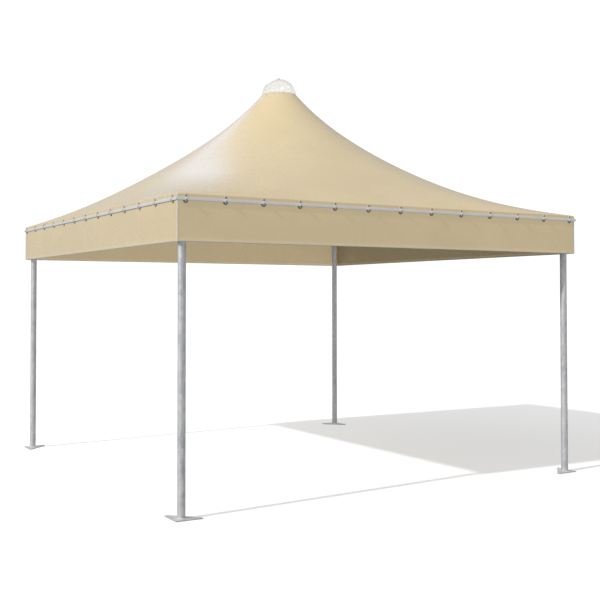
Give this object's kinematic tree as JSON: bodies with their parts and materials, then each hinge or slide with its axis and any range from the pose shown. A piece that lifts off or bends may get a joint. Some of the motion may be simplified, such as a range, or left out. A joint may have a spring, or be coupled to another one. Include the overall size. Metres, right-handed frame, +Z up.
{
  "type": "marquee tent",
  "caption": "Square pagoda marquee tent: round steel posts on triangular base plates, peaked membrane roof with a domed cap, and hanging valances clipped to a rail.",
  "frame": {"origin": "on the ground at the middle of the square", "axes": "+Z up; front is -Y and left is -X, with the sides of the square along X and Y"},
  "size_m": [4.0446, 4.0446, 3.7966],
  "materials": {
    "galvanised_steel": "hot-dip galvanised, matt grey with a mottled spangle",
    "rail_metal": "plain drawn aluminium, satin",
    "membrane": "beige coated polyester tent fabric, semi-gloss lacquer, fine weave, lets some light through",
    "piping": "light grey coated welt strip, semi-gloss",
    "clear_acrylic": "clear to milky moulded acrylic, glossy"
  },
  "bodies": {
    "root": {"base_plate_front_left": "galvanised_steel", "base_plate_front_right": "galvanised_steel", "base_plate_back_right": "galvanised_steel", "base_plate_back_left": "galvanised_steel", "post_front_left": "galvanised_steel", "post_front_right": "galvanised_steel", "post_back_right": "galvanised_steel", "post_back_left": "galvanised_steel", "corner_bracket_front_left": "galvanised_steel", "corner_bracket_front_right": "galvanised_steel", "corner_bracket_back_right": "galvanised_steel", "corner_bracket_back_left": "galvanised_steel", "eave_beam_front": "galvanised_steel", "eave_beam_right": "galvanised_steel", "eave_beam_back": "galvanised_steel", "eave_beam_left": "galvanised_steel", "stay_front_left": "galvanised_steel", "stay_front_right": "galvanised_steel", "stay_back_right": "galvanised_steel", "stay_back_left": "galvanised_steel", "king_pole_foot": "galvanised_steel", "king_pole": "galvanised_steel", "peak_ring": "galvanised_steel", "roof_panel_front": "membrane", "roof_panel_right": "membrane", "roof_panel_back": "membrane", "roof_panel_left": "membrane", "valance_front": "membrane", "valance_right": "membrane", "valance_back": "membrane", "valance_left": "membrane", "corner_strip_front_left": "piping", "corner_strip_front_right": "piping", "corner_strip_back_right": "piping", "corner_strip_back_left": "piping", "rail_front": "rail_metal", "rail_right": "rail_metal", "rail_back": "rail_metal", "rail_left": "rail_metal", "dome_cap": "clear_acrylic", "cap_knob": "rail_metal"}
  },
  "joints": []
}
